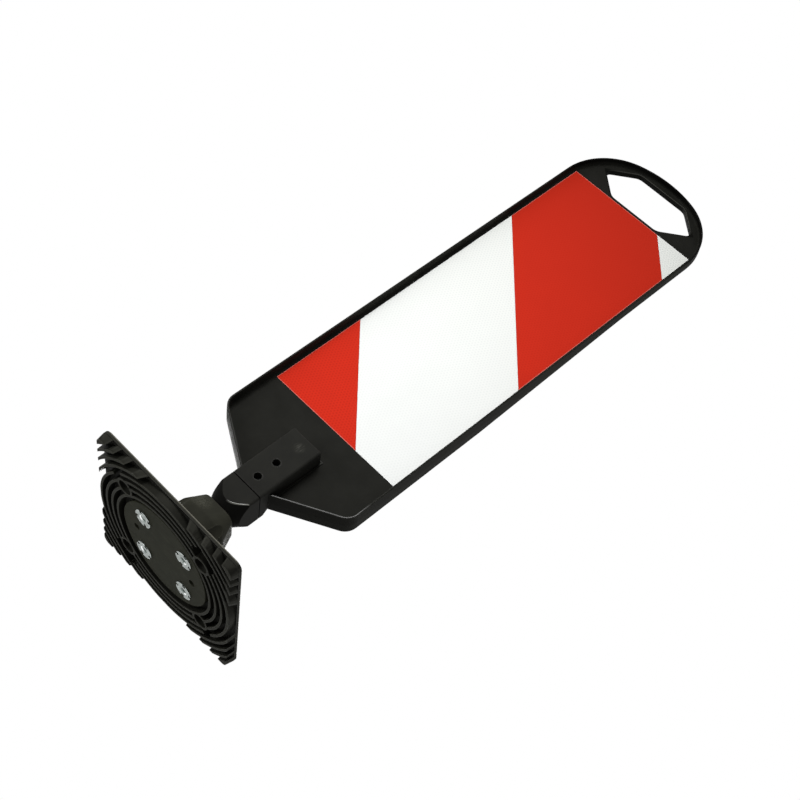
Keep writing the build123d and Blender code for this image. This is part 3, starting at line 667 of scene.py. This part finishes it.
# How far a point lies behind the rim's lip, which comes nearer to the floor towards the top
foot_depth, foot_height = 0.0150, 0.200
top_depth, top_height = 0.0112, 0.780
slope = (top_depth - foot_depth) / (top_height - foot_height)
lip_front = sums(tree, "MULTIPLY_ADD", axes["Z"], -slope, slope * foot_height - foot_depth)
to_lip = sums(tree, "SUBTRACT", axes["Y"], lip_front)

# The shine along the foot's lip, fainter on the left
lip_width, lip_shine, left_share = 0.0008, 0.25, 0.2
foot_fade = 0.012
along_foot = spread(
    tree, axes["Z"], foot_height - foot_fade, foot_height + foot_fade, lip_shine, 0.0)
on_lip = spread(tree, to_lip, lip_width / 2, lip_width, 1.0, 0.0)
lip_side = spread(tree, axes["X"], -foot_fade, foot_fade, left_share, 1.0)
lip = meet(tree, along_foot, on_lip, lip_side)
rubbed_shine = surface.inputs["Coat Weight"].links[0].from_socket
tree.links.new(sums(tree, "MAXIMUM", rubbed_shine, lip), surface.inputs["Coat Weight"])

# Painted shade on the arch, from its lip to some way down the rim
arch_fade, arch_shade_share = 0.03, 0.8
rim_shaded, rim_unshaded = top_depth / 3, top_depth / 1.6
arch = spread(tree, axes["Z"], top_height - arch_fade, top_height, 0.0, arch_shade_share)
painted_arch_shade = meet(tree, arch, spread(tree, to_lip, rim_shaded, rim_unshaded, 1.0, 0.0))

# The hand hole's outline, a flat hexagon, and what lies within a short reach of it
hole_middle, hole_half_height = 0.8209, 0.0303
hole_flat_half, hole_point_half = 0.039, 0.0757
hole_reach = 0.002
hole_slant = (hole_point_half - hole_flat_half) / hole_half_height
slant_reach = hole_reach * (1 + hole_slant ** 2) ** 0.5
off_middle = sums(tree, "ABSOLUTE", sums(tree, "SUBTRACT", axes["Z"], hole_middle))
slanted = sums(tree, "MULTIPLY_ADD", off_middle, hole_slant, sums(tree, "ABSOLUTE", axes["X"]))
near_hole = meet(
    tree, sums(tree, "LESS_THAN", off_middle, hole_half_height + hole_reach),
    sums(tree, "LESS_THAN", slanted, hole_point_half + slant_reach))

# Its walls face sideways, and its rounded front edge leans between them and the floor. Facing the
# front is -1, as the floor does, and facing sideways is 0.
wall_facing = (0.3, 0.6)
floor_facing = (-0.97, -0.88)
edge_facing = (-0.5, -0.35)
wall_shade, lower_shade = 0.45, 0.75
hole_highlight_share, hole_highlight_tone = 0.45, colour(96, 96, 90)
normal = add(tree, "ShaderNodeTexCoord").outputs["Normal"]
facing = add(tree, "ShaderNodeSeparateXYZ", {0: normal}).outputs["Y"]
# Painted shade on the hole's sideways walls and its lower half, and a painted highlight on its
# rounded upper edge
upright = spread(tree, sums(tree, "ABSOLUTE", facing), *wall_facing, 1.0, 0.0)
leaning = meet(
    tree, spread(tree, facing, *floor_facing), spread(tree, facing, *edge_facing, hole_highlight_share, 0.0))
upper_half = spread(tree, axes["Z"], hole_middle, hole_middle + hole_half_height / 2)
lower_half = spread(tree, upper_half, 0.0, 1.0, lower_shade, 0.0)
hole_shade = sums(tree, "MAXIMUM", meet(tree, upright, wall_shade), lower_half)
painted_hole_shade = meet(tree, near_hole, hole_shade)
painted_hole_highlight = meet(tree, near_hole, upper_half, leaning)
body = blend_colours(tree, sums(tree, "MAXIMUM", painted_arch_shade, painted_hole_shade), body, shade_and_dirt)
body = blend_colours(tree, painted_hole_highlight, body, hole_highlight_tone)
tree.links.new(body, surface.inputs["Base Color"])
dress("panel_board", board_plastic)

# Reflective sheeting: four cuts of prismatic film, red and white, stuck on the board's floor.
# Rows of tiny cells show as dots, and the cut edges of the film are pale.
cells_tree, given, out = start_group("prism_cells", {"Pitch": 0.0040}, {"Dot": "NodeSocketFloat"})
row_height = 2 * sin(radians(60))
cell_high = (0.5, row_height / 2, 1)
cell_low = (-0.5, -row_height / 2, -1)
dot_core, dot_rim = 0.14, 0.42
axes = object_axes(cells_tree)
flat = add(cells_tree, "ShaderNodeCombineXYZ", {"X": axes["X"], "Y": axes["Z"]}).outputs[0]
cells_per_metre = sums(cells_tree, "DIVIDE", 1.0, given["Pitch"])
cell = add(
    cells_tree, "ShaderNodeVectorMath", {0: flat, "Scale": cells_per_metre},
    operation="SCALE").outputs[0]
distances = []
for shift in ((0, 0, 0), (0.5, row_height / 2, 0)):
    moved = add(
        cells_tree, "ShaderNodeVectorMath", {0: cell, 1: shift}, operation="ADD").outputs[0]
    nearby = add(
        cells_tree, "ShaderNodeVectorMath", {0: moved, 1: cell_high, 2: cell_low},
        operation="WRAP").outputs[0]
    distances.append(distance(cells_tree, nearby))
nearest = sums(cells_tree, "MINIMUM", *distances)
cells_tree.links.new(spread(cells_tree, nearest, dot_core, dot_rim, 1.0, 0.0), out["Dot"])

film_low = Vector(map(min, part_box("film_red_lower")[0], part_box("film_white_middle")[0]))
film_high = Vector(map(max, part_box("film_red_upper")[1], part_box("film_white_corner")[1]))


def sheeting(name, face, worn, shaded_top, dotted, cut, foot_dots, top_dots):
    """Film of one colour: darker towards its top with painted shade, dots at its cells, a pale line
    along its edge.
    """
    cut_width, cut_share = 0.0007, 0.55
    least_rough, most_rough = 0.46, 0.54
    made, tree, surface = start_finish(name)
    axes = object_axes(tree)
    cells = lay(tree, cells_tree)
    skin = lay(tree, grain_tree, Grain=0.0012, Patch=0.05)
    off_axis = sums(tree, "ABSOLUTE", axes["X"])
    side = sums(tree, "GREATER_THAN", off_axis, film_high.x - cut_width)
    bottom = sums(tree, "LESS_THAN", axes["Z"], film_low.z + cut_width)
    top = sums(tree, "GREATER_THAN", axes["Z"], film_high.z - cut_width)
    border = sums(tree, "MAXIMUM", side, sums(tree, "MAXIMUM", bottom, top))
    dot_share = spread(tree, axes["Z"], film_low.z, film_high.z, foot_dots, top_dots)
    body = blend_colours(tree, skin["Patches"], worn, face)
    # Painted shade: darker towards the top
    body = blend_colours(tree, spread(tree, axes["Z"], film_low.z, film_high.z), body, shaded_top)
    body = blend_colours(tree, meet(tree, cells["Dot"], dot_share), body, dotted)
    body = blend_colours(tree, meet(tree, border, cut_share), body, cut)
    tree.links.new(body, surface.inputs["Base Color"])
    matt = spread(tree, skin["Patches"], 0.0, 1.0, least_rough, most_rough)
    tree.links.new(matt, surface.inputs["Roughness"])
    surface.inputs["IOR"].default_value = matt_gloss
    dimples = add(
        tree, "ShaderNodeBump", {"Height": cells["Dot"], "Distance": 0.00003, "Strength": 0.35},
        invert=True)
    tree.links.new(dimples.outputs[0], surface.inputs["Normal"])
    return made


red_sheeting = sheeting(
    "red_sheeting",
    face=colour(216, 49, 30), worn=colour(208, 46, 28), shaded_top=colour(199, 47, 30),
    dotted=colour(194, 38, 23), cut=colour(236, 150, 140), foot_dots=0.8, top_dots=0.3,
)
white_sheeting = sheeting(
    "white_sheeting",
    face=colour(250, 252, 250), worn=colour(247, 249, 247), shaded_top=colour(247, 249, 244),
    dotted=colour(220, 224, 222), cut=colour(252, 252, 252), foot_dots=0.2, top_dots=0.5,
)
dress("film_red_lower", red_sheeting)
dress("film_red_upper", red_sheeting)
dress("film_white_middle", white_sheeting)
dress("film_white_corner", white_sheeting)

# Camera where the photograph was taken from: low in front and to the right, rolled over.
# The focal length is in points of the picture, which is 800 of them wide.
photo_place = Vector((0.64533, -1.46085, -0.50433))
photo_up = Vector((-0.63129, -0.57358, 0.52199))
photo_back = Vector((0.34867, -0.81111, -0.46960))
sensor_width = 36.0
picture_side = 800
focal_pixels = 1531.0
camera_data = bpy.data.cameras.new("photo_camera")
camera_data.sensor_width = sensor_width
camera_data.lens = sensor_width * focal_pixels / picture_side
camera = bpy.data.objects.new("photo_camera", camera_data)
photo_right = photo_up.cross(photo_back)
photo_turn = Matrix((photo_right, photo_up, photo_back)).transposed().to_4x4()
camera.matrix_world = Matrix.Translation(photo_place) @ photo_turn
bpy.context.scene.collection.objects.link(camera)
bpy.context.scene.camera = camera

# Floor: a plain pale sheet under the foot, which fades into the white surroundings.
# It is clear from below, where the photograph looks from.
floor_half = 9.0
floor_drop = 0.0004
fade_start, fade_end = 0.5, 1.6
floor_signs = ((-1, -1), (1, -1), (1, 1), (-1, 1))
floor_corners = [(sx * floor_half, sy * floor_half, -floor_drop) for sx, sy in floor_signs]
floor_data = bpy.data.meshes.new("floor")
floor_data.from_pydata(floor_corners, [], [(0, 1, 2, 3)])
floor = bpy.data.objects.new("floor", floor_data)
bpy.context.scene.collection.objects.link(floor)
floor_paint, tree, surface = start_finish("floor_paint")
surface.inputs["Base Color"].default_value = colour(240, 240, 238)
surface.inputs["Roughness"].default_value = 0.9
surface.inputs["Specular IOR Level"].default_value = 0.1
white = add(tree, "ShaderNodeEmission", {"Color": (1, 1, 1, 1), "Strength": 1.0}).outputs[0]
fade = spread(tree, distance(tree, object_place(tree)), fade_start, fade_end)
faded = add(tree, "ShaderNodeMixShader", {0: fade, 1: surface.outputs[0], 2: white}).outputs[0]
clear = add(tree, "ShaderNodeBsdfTransparent").outputs[0]
below = add(tree, "ShaderNodeNewGeometry").outputs["Backfacing"]
one_sided = add(tree, "ShaderNodeMixShader", {0: below, 1: faded, 2: clear})
tree.links.new(one_sided.outputs[0], tree.nodes["Material Output"].inputs["Surface"])
floor_data.materials.append(floor_paint)
floor.visible_diffuse = False
floor.visible_glossy = False
floor.visible_transmission = False
floor.visible_shadow = False

# Light: white surroundings and soft lamps. The front lamp stands high on the left and is aimed at
# the board's foot, so that its light falls off towards the top. The back lamp lights the back.
world = bpy.data.worlds.new("studio")
bpy.context.scene.world = world
world.use_nodes = True
tree = world.node_tree
ambient = tree.nodes["Background"]
ambient.inputs["Color"].default_value = (1, 1, 1, 1)
ambient.inputs["Strength"].default_value = 0.2
seen = add(tree, "ShaderNodeBackground", {"Color": (1, 1, 1, 1), "Strength": 1.0})
path = add(tree, "ShaderNodeLightPath").outputs
mirrored = sums(tree, "MAXIMUM", path["Is Glossy Ray"], path["Is Transmission Ray"])
shown = sums(tree, "MAXIMUM", path["Is Camera Ray"], mirrored)
choice = add(tree, "ShaderNodeMixShader", {0: shown, 1: ambient.outputs[0], 2: seen.outputs[0]})
tree.links.new(choice.outputs[0], tree.nodes["World Output"].inputs["Surface"])


def lamp(name, place, aim, watts, width, beam=180):
    """A square lamp that looks at a height on the panel's axis, its beam an angle in degrees."""
    data = bpy.data.lights.new(name, "AREA")
    data.energy = watts
    data.size = width
    data.spread = radians(beam)
    made = bpy.data.objects.new(name, data)
    made.location = place
    looking = Vector((0, 0, aim)) - Vector(place)
    made.rotation_euler = looking.to_track_quat("-Z", "Y").to_euler()
    bpy.context.scene.collection.objects.link(made)


panel_middle = 0.42
lamp("front_lamp", (-0.47, -1.23, 0.855), aim=0.2, watts=4.3, width=0.6, beam=88)
lamp("left_lamp", (-1.8, -0.5, 0.7), aim=panel_middle, watts=6, width=0.8)
lamp("right_lamp", (1.9, 0.05, 0.4), aim=panel_middle, watts=9, width=0.8)
lamp("top_lamp", (-0.77, -0.12, 2.1), aim=panel_middle, watts=8, width=0.8)
lamp("back_lamp", (-0.7, 1.9, 0.9), aim=panel_middle, watts=42, width=1.0)
lamp("low_lamp", (-1.2, -1.2, -0.9), aim=0.02, watts=0.65, width=0.7, beam=45)

bpy.context.scene.view_settings.view_transform = "Standard"
